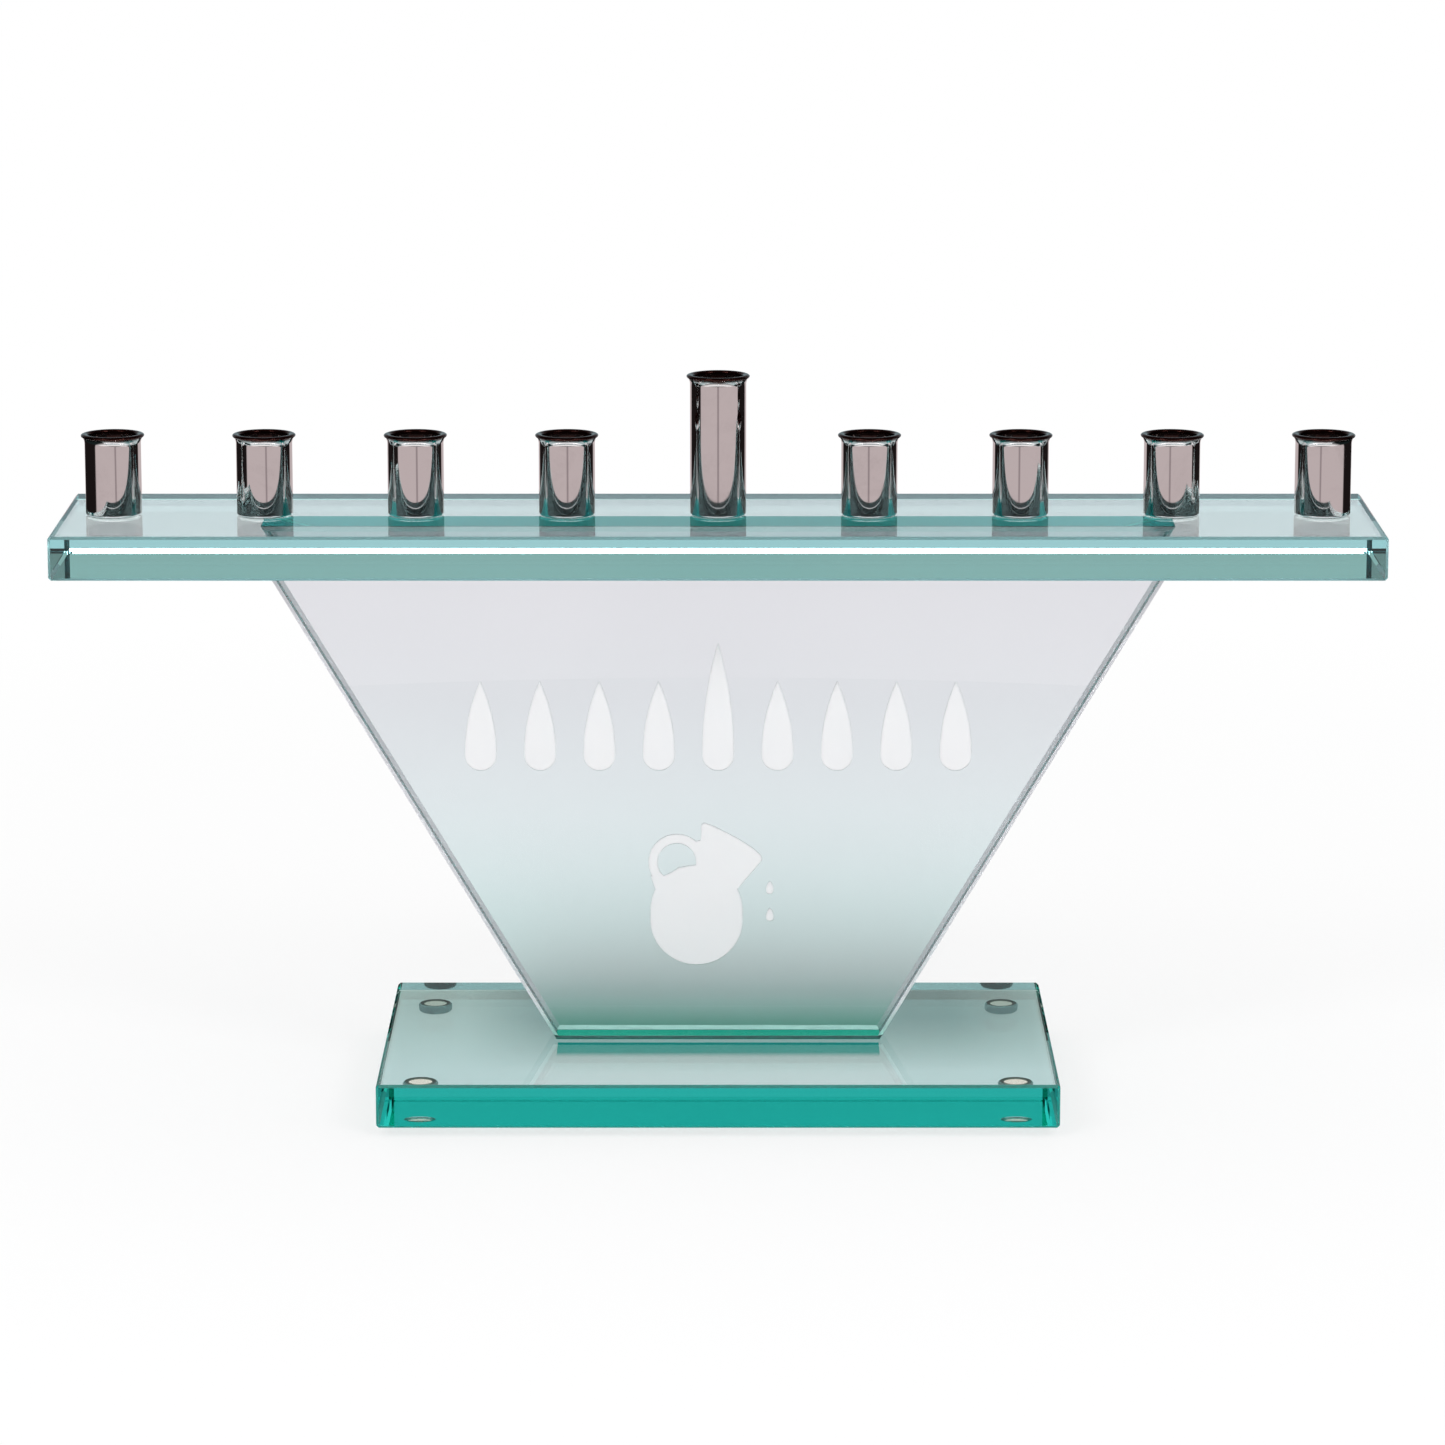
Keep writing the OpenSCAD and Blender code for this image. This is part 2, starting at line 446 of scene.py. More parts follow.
greenGlass = {
    "baseTint": (0.0, 0.83, 0.79, 1),
    "baseDensity": 40.0,
    "shelfTint": (0.0, 0.50, 0.52, 1),
    "shelfDensity": 23.0,
    "ior": 1.52,
    "arris": 0.6 * mm,
    "arrisZone": 0.612 * mm,    # the ground look goes just past the arris
    "arrisRough": 0.04,
    "frontRough": 0.5,          # more on the edges round the front face
    "endRough": 0.02,           # the two short ends are not as finely polished
    "clear": (1, 1, 1, 1),
    "endTint": (0.22, 0.74, 0.66, 1),   # deep green of the ends
    "grazing": 0.6,             # seen along its length, the shelf's joint mirrors like the glass beside it
}


def plateGlass(kind, node, filmNode, onFeet):
    material, tree, shader = newMaterial(kind + "GreenGlass")
    makeClear(shader, greenGlass["ior"])
    edges = useGroup(
        tree, groundArris, middle=tuple(middle(node)), half=tuple(half(node)), width=greenGlass["arrisZone"],
    )["mask"]
    place = axes(tree, objectPlace(tree))
    frontEdges = allOf(tree, calc(tree, "LESS_THAN", place["Y"], 0.0), edges)
    endLine = half(node).x - bonding["inset"]
    ends = calc(tree, "GREATER_THAN", calc(tree, "ABSOLUTE", place["X"]), endLine)
    rough = calc(tree, "MULTIPLY", edges, greenGlass["arrisRough"])
    rough = calc(tree, "MULTIPLY_ADD", frontEdges, greenGlass["frontRough"], rough)
    rough = calc(tree, "MULTIPLY_ADD", ends, greenGlass["endRough"], rough)
    tree.links.new(rough, shader["Roughness"])
    tree.links.new(blend(tree, ends, greenGlass["clear"], greenGlass["endTint"]), shader["Base Color"])
    joint = useGroup(tree, boxPatch, **bondZone(filmNode))["mask"]
    if onFeet:
        clearWhere(tree, shader, joint, useGroup(tree, footPatch, **tapeZone())["mask"])
    else:
        facing = put(tree, "ShaderNodeLayerWeight").outputs["Facing"]
        clearWhere(tree, shader, allOf(tree, joint, calc(tree, "LESS_THAN", facing, greenGlass["grazing"])))
    absorbIn(tree, greenGlass[kind + "Tint"], greenGlass[kind + "Density"])
    return material


def glassPlate(name, node, material):
    plate = bevelledBox(name, middle(node), 2 * half(node), greenGlass["arris"], 1)
    fit(plate, material, "green_glass", node)


def makePlates():
    glassPlate("basePlate", "base_plate", plateGlass("base", "base_plate", "lower_bond", True))
    glassPlate("candleShelf", "candle_shelf", plateGlass("shelf", "candle_shelf", "upper_bond", False))
    print("plates made")


# Frosted panel: polished in front, satin behind

frosted = {
    "tint": (0.0, 0.67, 0.71, 1),
    "density": 12.0,
    "veil": (0.765, 0.715, 0.735, 1),   # light that the satin lets through
    "paintedFootLine": (0.0002, 0.002, 0.0016, 1),     # painted near-black shade along the front arris at the foot
    "paintedFootShade": (0.34, 0.60, 0.53, 1),  # painted shade: the panel turns darker and greener towards its foot
    "paintedShadeReach": (1.0 * mm, 8.0 * mm),
    "ior": 1.52,
    "backRough": 0.5,
    "cloud": 45.0,
    "cloudRough": 0.08,
    "arrisZone": 0.918 * mm,            # just past the arris of 0.9 mm
    "arrisRough": 0.3,
}


def panelGlass():
    material, tree, shader = newMaterial("frostedPanelGlass")
    makeClear(shader, frosted["ior"])
    low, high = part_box("upright_panel")
    place = axes(tree, objectPlace(tree))
    depth, level = place["Y"], place["Z"]
    back = calc(tree, "GREATER_THAN", depth, high.y - frosted["arrisZone"])
    front = calc(tree, "LESS_THAN", depth, low.y + frosted["arrisZone"])
    frontFace = calc(tree, "LESS_THAN", depth, low.y + modelling["flatGap"])
    edges = calc(tree, "SUBTRACT", front, frontFace)
    cloud = useGroup(tree, sandblastGrain, cloud=frosted["cloud"])["cloud"]
    satin = calc(tree, "MULTIPLY_ADD", cloud, frosted["cloudRough"], frosted["backRough"])
    rough = calc(tree, "MULTIPLY_ADD", edges, frosted["arrisRough"], allOf(tree, back, satin))
    tree.links.new(rough, shader["Roughness"])
    # painted shade: darker and greener over the lowest few millimetres of the panel
    start, end = frosted["paintedShadeReach"]
    tone = blend(tree, clip(tree, level, low.z + start, low.z + end), frosted["paintedFootShade"], frosted["veil"])
    # a near-black painted shade line on the panel's front arris at its foot
    paintedFootLine = allOf(tree, calc(tree, "LESS_THAN", level, low.z + frosted["arrisZone"]), edges)
    tree.links.new(blend(tree, paintedFootLine, tone, frosted["paintedFootLine"]), shader["Base Color"])
    joints = [bondZone("lower_bond"), bondZone("upper_bond")]
    clearWhere(tree, shader, *[useGroup(tree, boxPatch, **joint)["mask"] for joint in joints])
    absorbIn(tree, frosted["tint"], frosted["density"])
    return material


def dressPanel():
    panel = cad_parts["upright_panel"]
    panel.data.materials.clear()
    panel.data.materials.append(panelGlass())
    print("panel dressed")


# Sandblasted figures: a white frosted skin in the panel's shallow recesses

figures = {
    "depth": 0.3 * mm,      # recess in the panel's front face
    "skin": 0.12 * mm,
    "rim": 0.05 * mm,
    "facing": -0.9,         # faces whose normal points at least this far to the front
    "flatAngle": 1,         # degrees
    "pale": (0.99, 0.98, 0.99, 1),
    "cool": (0.96, 0.96, 0.98, 1),
    "grain": 2600.0,
    "cloud": 120.0,
    "rough": 0.75,
    "grainRough": 0.2,
    "bumpStrength": 0.4,
    "bumpDepth": 0.05 * mm,
    "letsThrough": 0.08,    # a little light passes the white skin
}


def sandblastWhite():
    material, tree, shader = newMaterial("sandblastedWhite")
    blast = useGroup(tree, sandblastGrain, grain=figures["grain"], cloud=figures["cloud"])
    tree.links.new(blend(tree, blast["cloud"], figures["pale"], figures["cool"]), shader["Base Color"])
    rough = calc(tree, "MULTIPLY_ADD", blast["grain"], figures["grainRough"], figures["rough"])
    tree.links.new(rough, shader["Roughness"])
    shader["Transmission Weight"].default_value = figures["letsThrough"]
    bump = put(tree, "ShaderNodeBump", {
        "Height": blast["grain"], "Strength": figures["bumpStrength"], "Distance": figures["bumpDepth"],
    })
    tree.links.new(bump.outputs[0], shader["Normal"])
    return material


def sandblastFigures():
    startFresh()
    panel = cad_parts["upright_panel"]
    skin = bpy.data.objects.new("sandblastedFigures", panel.data.copy())
    scene.collection.objects.link(skin)
    skin.select_set(True)
    bpy.context.view_layer.objects.active = skin
    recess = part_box("upright_panel")[0].y + figures["depth"]
    editAll()
    bpy.ops.mesh.remove_doubles(threshold=modelling["mergeGap"])
    pickFaces(lambda mid, normal: (
        abs(mid.y - recess) < modelling["flatGap"] and normal.y < figures["facing"]
    ))
    keepPicked()
    bpy.ops.mesh.dissolve_limited(angle_limit=math.radians(figures["flatAngle"]))
    bpy.ops.mesh.inset(thickness=figures["rim"], use_boundary=True)
    keepPicked()
    bpy.ops.transform.translate(value=(0, -bonding["inset"], 0))
    bpy.ops.mesh.extrude_region_move(TRANSFORM_OT_translate={"value": (0, -figures["skin"], 0)})
    bpy.ops.mesh.select_all(action="SELECT")
    bpy.ops.mesh.normals_make_consistent(inside=False)
    bpy.ops.object.mode_set(mode="OBJECT")
    fit(skin, sandblastWhite(), "frosted_glass")
    print("figures sandblasted,", len(skin.data.polygons), "faces")


# Polished metal cups

cup = {
    "wall": 0.8 * mm,
    "floor": 1.0 * mm,
    "footRound": 0.4 * mm,
    "lipOut": 0.8 * mm,
    "lipThick": 0.8 * mm,
    "lipSteps": 16,
    "lipUnderSteps": 6,
    "flareRadius": 3.0 * mm,    # the wall flares out under the lip
    "hold": 0.15 * mm,          # loops that keep the wall's shading straight beside its rounds
    "boreRound": 0.6 * mm,
    "spinSteps": 96,
    "bright": (0.80, 0.755, 0.75, 1),
    "dull": (0.70, 0.66, 0.655, 1),
    "darkLip": (0.07, 0.024, 0.020, 1),      # lip and mouth, darkened to a near-black brown
    "darkLipFade": 0.5 * mm,
    "smear": 110.0,
    "fine": 1500.0,
    "rough": 0.035,
    "hazeRough": 0.12,
    "darkLipRough": 0.15,
}


def mirrorMetal(name, lipLevel):
    material, tree, shader = newMaterial(name)
    haze = useGroup(tree, handlingMarks, smear=cup["smear"], fine=cup["fine"])["haze"]
    level = axes(tree, objectPlace(tree))["Z"]
    # lip and mouth turn near-black brown, with a ragged edge below the lip
    ragged = calc(tree, "MULTIPLY_ADD", haze, cup["darkLipFade"], level)
    lipDarkening = clip(tree, ragged, lipLevel - cup["darkLipFade"], lipLevel)
    tone = blend(tree, haze, cup["bright"], cup["dull"])
    tree.links.new(blend(tree, lipDarkening, tone, cup["darkLip"]), shader["Base Color"])
    rough = calc(tree, "MULTIPLY_ADD", haze, cup["hazeRough"], cup["rough"])
    rough = calc(tree, "MULTIPLY_ADD", lipDarkening, cup["darkLipRough"], rough)
    tree.links.new(rough, shader["Roughness"])
    shader["Metallic"].default_value = 1.0
    return material


def rolledLip(inner, outer, level, rise):
    reach = (outer - inner) / 2
    turns = [math.pi * i / cup["lipSteps"] for i in range(cup["lipSteps"] + 1)]
    return [(inner + reach + reach * math.cos(a), level + rise * math.sin(a)) for a in turns]


def cupProfile(height, lipRadius):
    wallRadius = lipRadius - cup["lipOut"]
    bore = wallRadius - cup["wall"]
    low, lip, flare = cup["footRound"], cup["lipThick"] / 2, cup["flareRadius"]
    turn, floor = cup["boreRound"], cup["floor"]
    lean = math.acos(1 - (cup["lipOut"] - lip) / flare)
    flareStart = height - cup["lipThick"] - flare * math.sin(lean)
    wall = [(wallRadius, low + cup["hold"]), (wallRadius, flareStart - cup["hold"])]
    return (
        [(0, 0)]
        + arc(wallRadius - low, low, low, -90, 0)
        + wall
        + arc(wallRadius + flare, flareStart, flare, 180, 180 - math.degrees(lean))[:-1]
        + arc(lipRadius - lip, height - lip, lip, -90, 0, cup["lipUnderSteps"])[:-1]
        + rolledLip(bore, lipRadius, height - lip, lip)
        + arc(bore - turn, floor + turn, turn, 0, -90)
        + [(0, floor)]
    )


def makeCups():
    for kind, pieces in (
        ("candleCup", {f"candle_cup_{n}": f"candleCup{n}" for n in range(1, 9)}),
        ("servantCup", {"servant_cup": "servantLightCup"}),
    ):
        first = next(iter(pieces))
        metal = mirrorMetal(kind + "Metal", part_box(first)[1].z - cup["lipThick"])
        pattern = spinProfile(kind, cupProfile(2 * half(first).z, half(first).x), cup["spinSteps"])
        for node, name in pieces.items():
            fit(copyOnto(pattern, name, node), metal, "polished_metal", node)
        bpy.data.objects.remove(pattern)
    print("cups made")


# Adhesive films: clear under the cups and feet, tinted green between the panel and the plates as painted
# light

film = {
    "ior": 1.49,
    "iorInGlass": 1.02,     # between two plates the film hardly bends light
    "clear": (0.97, 1, 0.99, 1),
    # painted light: the films between the panel and the plates are tinted green for the green light the
    # panel leads down through its joints
    "green": (0.25, 0.95, 0.90, 1),
    "paleGreen": (0.31, 0.98, 0.94, 1),
    # painted shade: near-black green along the films' edges
    "rim": (0.0, 0.10, 0.08, 1),
    "smear": 200.0,
    "fine": 2500.0,
    "rough": 0.02,
    "hazeRough": 0.1,
    "edge": 0.05 * mm,
    "edgeSegments": 2,
}


def filmBase(name, ior):
    material, tree, shader = newMaterial(name)
    makeClear(shader, ior)
    haze = useGroup(tree, handlingMarks, smear=film["smear"], fine=film["fine"])["haze"]
    return material, tree, shader, haze


def clearFilm(name, bondedZone=None):
    material, tree, shader, haze = filmBase(name, film["ior"])
    shader["Base Color"].default_value = film["clear"]
    tree.links.new(calc(tree, "MULTIPLY_ADD", haze, film["hazeRough"], film["rough"]), shader["Roughness"])
    if bondedZone:
        clearWhere(tree, shader, useGroup(tree, footPatch, **bondedZone)["mask"])
    return material


def greenFilm(name, node):
    material, tree, shader, haze = filmBase(name, film["iorInGlass"])
    inner = half(node) - Vector((film["edge"], film["edge"], -film["edge"]))
    core = useGroup(tree, boxPatch, middle=tuple(middle(node)), half=tuple(inner))["mask"]
    # painted green light in the joint
    tone = blend(tree, haze, film["green"], film["paleGreen"])
    # painted near-black shade on the film's edges, the painted green inside
    tree.links.new(blend(tree, core, film["rim"], tone), shader["Base Color"])
    shader["Roughness"].default_value = 0.0
    return material


def panelFilm(name, node):
    size = 2 * half(node) - Vector((0, 0, 2 * bonding["inset"]))
    piece = bevelledBox(name, middle(node), size, film["edge"], film["edgeSegments"])
    fit(piece, greenFilm(name + "Green", node), "clear_adhesive", node)


def makeFilms():
    clear = clearFilm("cupFilmClear")
    pieces = {f"cup_bond_{n}": f"cupFilm{n}" for n in range(1, 9)}
    pieces["servant_bond"] = "servantFilm"
    size = half("servant_bond")
    bottom, top = bonding["inset"], 2 * size.z - bonding["inset"]
    dip = (top - bottom) / 2
    pattern = spinProfile("cupFilm", (
        [(0, bottom)] + arc(size.x, bottom + dip, dip, 270, 90) + [(0, top)]
    ))
    for node, name in pieces.items():
        fit(copyOnto(pattern, name, node), clear, "clear_adhesive", node)
    bpy.data.objects.remove(pattern)
    print("films made")


# Clear bumper feet and their tape

foot = {
    "lowRound": 0.9 * mm,
    "lowSteps": 10,
    "topRound": 0.25 * mm,
    "topSteps": 5,
    "tapeSteps": 6,
    "ior": 1.49,
    "smear": 260.0,
    "fine": 2000.0,
    "rough": 0.06,
    "hazeRough": 0.15,
    "pale": (1.0, 0.98, 0.94, 1),
    "rim": (0.02, 0.05, 0.035, 1),      # painted shade: the curved rim turns light away, so it is painted dark
    "paintedRimWidth": 1.3 * mm,
}


def bumperClear():
    material, tree, shader = newMaterial("clearBumperRubber")
    makeClear(shader, foot["ior"])
    haze = useGroup(tree, handlingMarks, smear=foot["smear"], fine=foot["fine"])["haze"]
    tree.links.new(calc(tree, "MULTIPLY_ADD", haze, foot["hazeRough"], foot["rough"]), shader["Roughness"])
    node = "foot_rear_right"
    core = useGroup(tree, footPatch, **footZone(node, foot["paintedRimWidth"], half(node).z))["mask"]
    # painted shade on the rim
    tree.links.new(blend(tree, core, foot["rim"], foot["pale"]), shader["Base Color"])
    return material


def bumperPattern(node):
    radius, height = half(node).x, 2 * half(node).z
    low, top = foot["lowRound"], foot["topRound"]
    return spinProfile("bumper", (
        [(0, 0)]
        + arc(radius - low, low, low, -90, 0, foot["lowSteps"])
        + arc(radius - top, height - top, top, 0, 90, foot["topSteps"])
        + [(0, height)]
    ))


def tapePattern(node):
    bottom, top = bonding["inset"], 2 * half(node).z - bonding["inset"]
    rim = (top - bottom) / 2
    return spinProfile("tape", (
        [(0, bottom)]
        + arc(half(node).x - rim, bottom + rim, rim, -90, 90, foot["tapeSteps"])
        + [(0, top)]
    ))


def makeFeet():
    rubber = bumperClear()
    tapeClear = clearFilm("footTapeClear", tapeZone())
    bumper = bumperPattern("foot_rear_right")
    tape = tapePattern("foot_tape_rear_right")
    for depth in ("front", "rear"):
        for side in ("left", "right"):
            corner = depth.capitalize() + side.capitalize()
            node = f"foot_{depth}_{side}"
            fit(copyOnto(bumper, "bumper" + corner, node), rubber, "clear_bumper", node)
            node = f"foot_tape_{depth}_{side}"
            fit(copyOnto(tape, "tape" + corner, node), tapeClear, "clear_adhesive", node)
    bpy.data.objects.remove(bumper)
    bpy.data.objects.remove(tape)
    print("feet made")


# Studio: what the camera sees is plain white, and the cups and the glass get their own views of it

studio = {
    "white": (1, 1, 1, 1),
    "lengthwise": (2.0, 2.0, 2.0, 1),   # end light that a plate leads along its whole length
    "lengthwiseTurns": 3,               # a view along a plate is turned more often than this
}


def seenInGlass(tree, path):
    return allOf(tree, path["Is Transmission Ray"], countIs(tree, path["Diffuse Depth"], 0))


# Pale floor, in metres from the part's middle

paleFloor = {
    "radius": 4.0,
    "corners": 96,
    "drop": 0.05 * mm,
    "pale": (0.93, 0.93, 0.93, 1),
    "grey": (0.91, 0.91, 0.915, 1),
    "cloud": 2.0,
    "cloudDetail": 2.0,
    "rough": 0.9,
    "shadeReach": (0.15, 0.6),                  # the floor turns from shaded paint to plain white
    "shadeShare": 0.3,
    "mirrored": (0.010, 0.016, 0.016, 1),       # the floor as the cups mirror it
    "paleFront": (-0.46, -0.30),                # a pale strip that shows under the cups' lips
    "paleBack": (-0.10, -0.24),
    "frontLine": -0.3,                          # past these lines it is dark, seen through the shelf
    "sideLine": 0.3,
    "backLine": 0.3,
    "manyFaces": 3,                             # more faces of glass than one plate has
    "deepDim": 0.25,                            # dimming of what the cups show through several plates
    "seenSpan": (-0.5, 0.5),                    # floor behind the glass, from front to back
    "seenStops": (
        (-0.45, (0.79, 0.72, 0.735, 1)), (-0.21, (0.72, 0.79, 0.77, 1)), (-0.11, (0.66, 0.52, 0.53, 1)),
        (-0.02, (0.72, 0.56, 0.57, 1)), (0.01, (0.58, 0.46, 0.45, 1)), (0.042, (0.44, 0.34, 0.32, 1)),
        (0.15, (0.44, 0.76, 0.69, 1)), (0.21, (0.72, 0.79, 0.77, 1)), (0.45, (0.79, 0.72, 0.735, 1)),
    ),
    "seenStrength": 1.9,
    "seenShare": 0.75,
    "underPanel": (0.0, 0.17, 0.15, 1),         # green light that the panel leads down
    "underFade": 4.0 * mm,
    "underHeight": 0.1,
    "behindPanel": (0.20, 0.33, 0.25, 1),       # the panel's own soft shade, painted on the floor behind and beside it
    "besidePanel": (0.18, 0.15, 0.14, 1),
    "shadeLeft": (-0.06, -0.04),
    "shadeRight": (0.085, 0.055),
    "shadeFront": (-0.02, 0.03),
    "shadeBack": (0.15, 0.10),
    "footFaces": 3,                             # a view through base and foot crosses this many faces
    # painted light on the floor under the feet, seen through base and foot; dimmer under the rear feet
    "underFeet": (1.0, 0.62, 0.58, 1),
    "underRearFeet": (0.45, 0.36, 0.33, 1),
    "turnedSpan": (0.09, 0.3),                  # floor that the edges of the glass show
    "turnedNear": (0.34, 0.40, 0.41, 1),
    "turnedFar": (0.75, 0.74, 0.75, 1),
    "turnedFront": (0.95, 0.85, 0.87, 1),
    "turnedFrom": -0.1,
}


def floorSides(tree, x):
    return calc(tree, "GREATER_THAN", calc(tree, "ABSOLUTE", x), paleFloor["sideLine"])


def floorInCups(tree, path, x, y):
    turns, faces = path["Glossy Depth"], path["Transmission Depth"]
    pale = allOf(tree, clip(tree, y, *paleFloor["paleFront"]), clip(tree, y, *paleFloor["paleBack"]))
    pastShelf = anyOf(tree, calc(tree, "LESS_THAN", y, paleFloor["frontLine"]), floorSides(tree, x))
    once = blend(tree, countIs(tree, faces, 0), pastShelf, notOf(tree, pale))
    once = allOf(tree, countIs(tree, turns, 1), once)
    twice = allOf(tree, countIs(tree, turns, 2), calc(tree, "GREATER_THAN", y, paleFloor["backLine"]))
    deep = allOf(tree, countOver(tree, faces, paleFloor["manyFaces"]), countOver(tree, turns, 0))
    return anyOf(tree, once, twice, calc(tree, "MULTIPLY", deep, paleFloor["deepDim"]))


def floorUnderPanel(tree, y):
    reach = half("lower_bond")
    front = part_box("lower_bond")[0].y
    reach.z = paleFloor["underHeight"]
    under = useGroup(tree, boxPatch, middle=(0, 0, 0), half=tuple(reach))["mask"]
    return allOf(tree, under, clip(tree, y, front, front + paleFloor["underFade"]))


def floorInEdges(tree, path, x, y):
    farShare = clip(tree, y, *paleFloor["turnedSpan"])
    tone = blend(tree, farShare, paleFloor["turnedNear"], paleFloor["turnedFar"])
    inFront = calc(tree, "LESS_THAN", y, paleFloor["turnedFrom"])
    tone = blend(tree, inFront, tone, paleFloor["turnedFront"])
    often = countOver(tree, path["Glossy Depth"], studio["lengthwiseTurns"])
    return blend(tree, allOf(tree, often, floorSides(tree, x)), tone, studio["lengthwise"])


def floorInGlass(tree, path, x, y, underPanel):
    # painted glow: bright in front, painted shade behind the panel, painted green light under the panel's
    # foot
    faces = path["Transmission Depth"]
    start, end = paleFloor["seenSpan"]
    stops = [((place - start) / (end - start), tone) for place, tone in paleFloor["seenStops"]]
    seen = toneRamp(tree, clip(tree, y, start, end), stops)
    across = [clip(tree, x, *paleFloor[side]) for side in ("shadeLeft", "shadeRight")]
    along = [clip(tree, y, *paleFloor[side]) for side in ("shadeFront", "shadeBack")]
    throughPanel = countOver(tree, faces, paleFloor["manyFaces"])
    shadeTone = blend(tree, throughPanel, paleFloor["besidePanel"], paleFloor["behindPanel"])
    seen = blend(tree, allOf(tree, *across, *along), seen, shadeTone)
    seen = blend(tree, underPanel, seen, paleFloor["underPanel"])
    seen = blend(tree, countOver(tree, path["Glossy Depth"], 0), seen, floorInEdges(tree, path, x, y))
    rear = calc(tree, "GREATER_THAN", y, 0.0)
    footTone = blend(tree, rear, paleFloor["underFeet"], paleFloor["underRearFeet"])
    return blend(tree, countIs(tree, faces, paleFloor["footFaces"]), seen, footTone)


def floorPaint():
    material, tree, shader = newMaterial("paleFloorPaint")
    path = lightPath(tree)
    place = objectPlace(tree)
    x, y = axes(tree, place)[:2]
    mirrored = floorInCups(tree, path, x, y)
    cloud = noise(tree, place, paleFloor["cloud"], paleFloor["cloudDetail"])
    tone = blend(tree, cloud, paleFloor["pale"], paleFloor["grey"])
    tree.links.new(blend(tree, mirrored, tone, paleFloor["mirrored"]), shader["Base Color"])
    shader["Roughness"].default_value = paleFloor["rough"]
    shader["Specular IOR Level"].default_value = 0.0
    # plain white for the camera, with the object's shadow left near it
    away = clip(tree, vectorCalc(tree, "LENGTH", place), *paleFloor["shadeReach"])
    plain = calc(tree, "MULTIPLY_ADD", away, paleFloor["shadeShare"], 1 - paleFloor["shadeShare"])
    share = allOf(tree, path["Is Camera Ray"], plain)
    # painted glow and painted shade that only the glass shows
    underPanel = floorUnderPanel(tree, y)
    inGlass = seenInGlass(tree, path)
    seen = floorInGlass(tree, path, x, y, underPanel)
    seenShare = calc(tree, "MULTIPLY_ADD", underPanel, 1 - paleFloor["seenShare"], paleFloor["seenShare"])
    share = calc(tree, "MULTIPLY_ADD", allOf(tree, inGlass, notOf(tree, mirrored)), seenShare, share)
    glow = put(tree, "ShaderNodeEmission", {
        "Color": blend(tree, inGlass, studio["white"], seen),
        "Strength": calc(tree, "MULTIPLY_ADD", inGlass, paleFloor["seenStrength"] - 1, 1.0),
    })
    paint = tree.nodes["shader"].outputs[0]
    mixed = put(tree, "ShaderNodeMixShader", {0: share, 1: paint, 2: glow.outputs[0]})
    tree.links.new(mixed.outputs[0], tree.nodes["result"].inputs["Surface"])
    return material


def makeFloor():
    startFresh()
    bpy.ops.mesh.primitive_circle_add(
        vertices=paleFloor["corners"], radius=paleFloor["radius"], fill_type="NGON",
        location=(0, 0, -paleFloor["drop"]),
    )
    floor = takePiece("paleFloor")
    floor.data.materials.append(floorPaint())


# Light tent that the cups mirror: a low ring of pale panels, and a dark wall above it

lightTent = {
    "radius": 0.5,
    "height": 0.5,
    "corners": 128,
    "openFrom": 0.2,                # the high wall is open towards the backdrop
    "paleTop": 0.118,               # the pale panels end below the cups
    "pale": (0.60, 0.53, 0.535, 1),
    "dark": (0.012, 0.009, 0.009, 1),
    "gap": (0.34, 0.29, 0.30, 1),
    "panels": (-74, -2, 2, 86),     # ends of the two pale panels, in degrees from the front
    "back": 140,                    # a third pale panel closes the back
    "soft": 3,                      # degrees over which a pale panel fades out
}


def tentWall(name, low, high):
    startFresh()
    bpy.ops.mesh.primitive_cylinder_add(
        vertices=lightTent["corners"], radius=lightTent["radius"], depth=high - low,
        end_fill_type="NOTHING", location=(0, 0, (low + high) / 2),
    )
    wall = takePiece(name)
    bpy.ops.object.transform_apply(location=True, rotation=True, scale=True)
    return wall


def tentPanels():
    material, tree = emptyMaterial("lightTentPanels")
    x, y, z = axes(tree, objectPlace(tree))
    turn = calc(tree, "ARCTAN2", x, calc(tree, "MULTIPLY", y, -1.0))
    leftEnd, leftStart, rightStart, rightEnd = lightTent["panels"]
    soft, back = lightTent["soft"], lightTent["back"]
    stops = [
        (-back - soft, "pale"), (-back, "dark"),
        (leftEnd - soft, "dark"), (leftEnd, "pale"), (leftStart - soft, "pale"), (leftStart, "gap"),
        (rightStart, "gap"), (rightStart + soft, "pale"), (rightEnd, "pale"), (rightEnd + soft, "dark"),
        (back, "dark"), (back + soft, "pale"),
    ]
    stops = [(0.5 + degrees / 360, lightTent[tone]) for degrees, tone in stops]
    panels = toneRamp(tree, clip(tree, turn, -math.pi, math.pi), stops)
    low = calc(tree, "LESS_THAN", z, lightTent["paleTop"])
    once = countIs(tree, lightPath(tree)["Glossy Depth"], 1)
    tone = blend(tree, allOf(tree, low, once), lightTent["dark"], panels)
    glow = put(tree, "ShaderNodeEmission", {"Color": tone, "Strength": 1.0})
    put(tree, "ShaderNodeOutputMaterial", {"Surface": glow.outputs[0]})
    return material


def makeTent():
    lowWall = tentWall("lightTentLow", 0, lightTent["paleTop"])
    highWall = tentWall("lightTentHigh", lightTent["paleTop"], lightTent["height"])
    editAll()
    pickFaces(lambda mid, normal: mid.y > lightTent["openFrom"])
    bpy.ops.mesh.delete(type="FACE")
    bpy.ops.object.mode_set(mode="OBJECT")
    panels = tentPanels()
    for wall in (lowWall, highWall):
        wall.data.materials.append(panels)
        wall.visible_camera = False
        wall.visible_diffuse = False
        wall.visible_transmission = False
        wall.visible_shadow = False


# Soft lamps to the left and right of the camera

lamps = {
    "places": {"leftLamp": (-0.9, -1.1, 1.1), "rightLamp": (0.9, -1.1, 1.1)},
    "aim": (0, 0, 0.08),
    "power": 6.0,
    "size": 0.5,
}


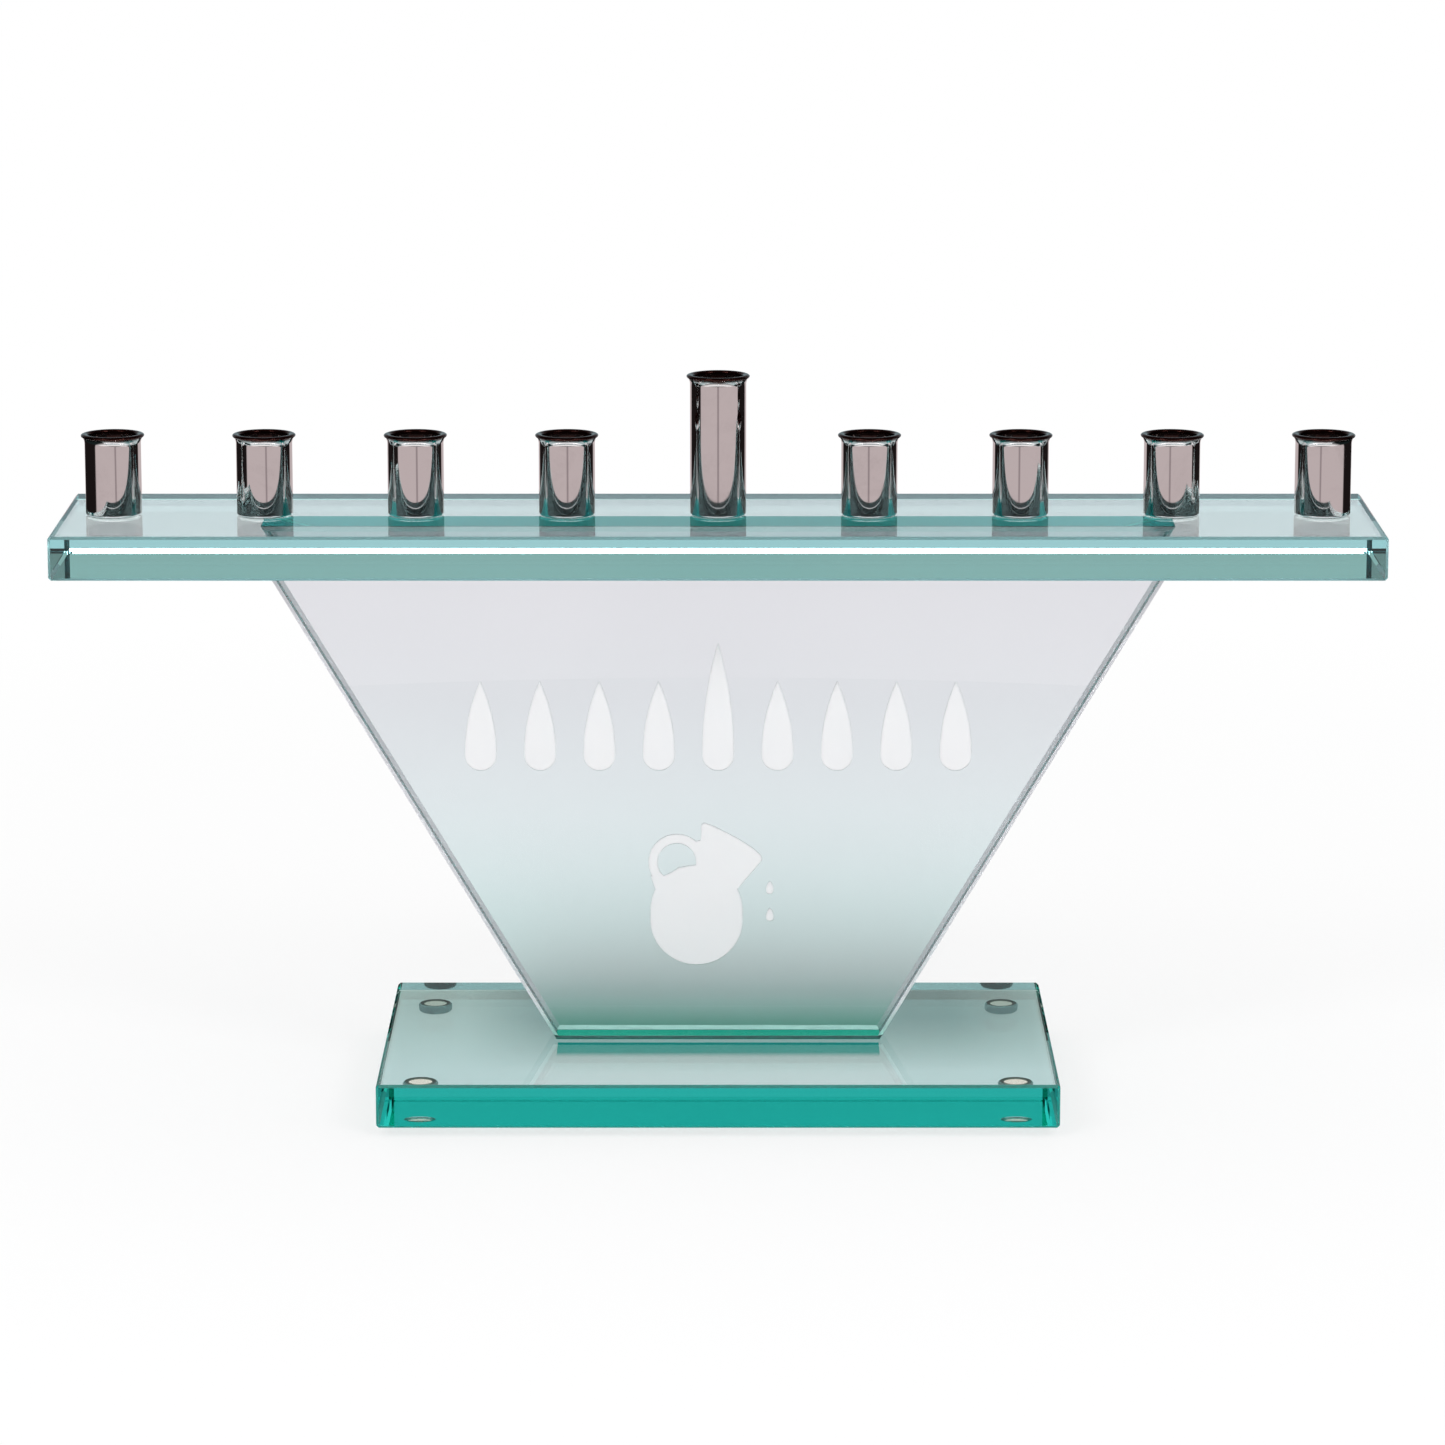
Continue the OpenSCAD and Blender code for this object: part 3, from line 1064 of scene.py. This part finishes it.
def makeLamps():
    for name, place in lamps["places"].items():
        startFresh()
        aim = Vector(lamps["aim"]) - Vector(place)
        turn = aim.to_track_quat("-Z", "Y").to_euler()
        bpy.ops.object.light_add(type="AREA", location=place, rotation=turn)
        lamp = bpy.context.object
        lamp.name = name
        lamp.data.energy = lamps["power"]
        lamp.data.shape = "SQUARE"
        lamp.data.size = lamps["size"]
        lamp.visible_camera = False


# Room round the floor; its heights and sides are given as sines of the angle

room = {
    "sideLight": (0.30, 0.30, 0.30, 1),
    "topLight": (1.10, 1.10, 1.10, 1),
    "dark": (0.05, 0.028, 0.026, 1),
    "backSide": (0.1, 0.5),                     # the backdrop fades in towards the back
    "backTop": (0.6, 0.3),
    "backFoot": (0.19, 0.23),
    "backPale": (0.38, 0.52, 0.56, 1),
    "backGlow": (0.20, 0.20, 0.21, 1),
    "through": (1.0, 0.94, 0.96, 1),
    "headOn": 0.7,                              # straight behind the object, or straight beside it
    "turnedDark": (0.06, 0.05, 0.05, 1),
    "turnedTop": (0.40, 0.27),                  # the backdrop that the edges of the glass show ends here
    "turnedTwice": 0.5,
    "turnedLow": (0.90, 0.87, 0.81, 1),
    "turnedHigh": (1.1, 0.84, 0.88, 1),
    "edgeBand": (0.50, 0.68),
    "edgePale": (1.2, 1.0, 1.05, 1),
    "lampBox": (25, 25, 25, 1),                 # lamp boxes, seen only in the edges of the glass
    "lampBoxEdge": 0.96,
    "lampStrip": (0.40, 0.49),
    "onePlate": 2,                              # faces that a view through one plate crosses
}


def roomInCups(tree, path, y, z):
    # a dark room with a backdrop behind the object, palest at its foot
    behind = allOf(tree, clip(tree, y, *room["backSide"]), clip(tree, z, *room["backTop"]))
    behind = allOf(tree, behind, countIs(tree, path["Glossy Depth"], 1))
    backdrop = blend(tree, clip(tree, z, *room["backFoot"]), room["backPale"], room["backGlow"])
    return blend(tree, behind, room["dark"], backdrop)


def roomInGlass(tree, path, x, y, z):
    turns = path["Glossy Depth"]
    once, twice, thrice = [countIs(tree, turns, number) for number in (1, 2, 3)]
    turned = countOver(tree, turns, 0)
    ahead = calc(tree, "GREATER_THAN", y, room["headOn"])
    aside = calc(tree, "GREATER_THAN", calc(tree, "ABSOLUTE", x), room["headOn"])
    # white, or dark where faces of the glass turn the view, with the backdrop for a few turned views
    tone = blend(tree, turned, room["through"], room["turnedDark"])
    share = calc(tree, "MULTIPLY_ADD", allOf(tree, twice, ahead), room["turnedTwice"], once)
    share = calc(tree, "MULTIPLY_ADD", thrice, aside, share)
    pale = blend(tree, clip(tree, z, *room["backFoot"]), room["turnedLow"], room["turnedHigh"])
    tone = blend(tree, allOf(tree, clip(tree, z, *room["turnedTop"]), share), tone, pale)
    edgeBand = allOf(tree, within(tree, z, *room["edgeBand"]), once)
    tone = blend(tree, edgeBand, tone, room["edgePale"])
    often = countOver(tree, turns, studio["lengthwiseTurns"])
    tone = blend(tree, allOf(tree, often, aside), tone, studio["lengthwise"])
    # lamp boxes, where a ground edge of the shelf turns the view upwards
    strip = allOf(tree, within(tree, z, *room["lampStrip"]), ahead, notOf(tree, turned))
    overhead = allOf(tree, calc(tree, "GREATER_THAN", z, room["lampBoxEdge"]), thrice)
    manyFaces = countOver(tree, path["Transmission Depth"], room["onePlate"])
    boxes = allOf(tree, anyOf(tree, overhead, strip), notOf(tree, manyFaces))
    return blend(tree, boxes, tone, room["lampBox"])


def makeRoom():
    world = bpy.data.worlds.new("paleStudio")
    scene.world = world
    world.use_nodes = True
    tree = world.node_tree
    tree.nodes.clear()
    x, y, z = axes(tree, put(tree, "ShaderNodeTexCoord").outputs["Generated"])
    path = lightPath(tree)
    tone = blend(tree, clip(tree, z, 0.0, 1.0), room["sideLight"], room["topLight"])
    bounced = calc(tree, "SUBTRACT", path["Is Glossy Ray"], path["Is Transmission Ray"])
    tone = blend(tree, bounced, tone, roomInCups(tree, path, y, z))
    tone = blend(tree, seenInGlass(tree, path), tone, roomInGlass(tree, path, x, y, z))
    tone = blend(tree, path["Is Camera Ray"], tone, studio["white"])
    sky = put(tree, "ShaderNodeBackground", {"Color": tone, "Strength": 1.0})
    put(tree, "ShaderNodeOutputWorld", {"Surface": sky.outputs[0]})


# Light paths: glass needs many bounces

bounces = {
    "max_bounces": 40,
    "glossy_bounces": 32,
    "transmission_bounces": 32,
    "transparent_max_bounces": 64,
}


def setLightPaths():
    scene.view_settings.view_transform = "Standard"
    for name, number in bounces.items():
        setattr(scene.cycles, name, number)


setCamera()
makePlates()
dressPanel()
sandblastFigures()
panelFilm("lowerFilm", "lower_bond")
panelFilm("upperFilm", "upper_bond")
makeCups()
makeFilms()
makeFeet()
makeFloor()
makeTent()
makeLamps()
makeRoom()
setLightPaths()
print("studio set")
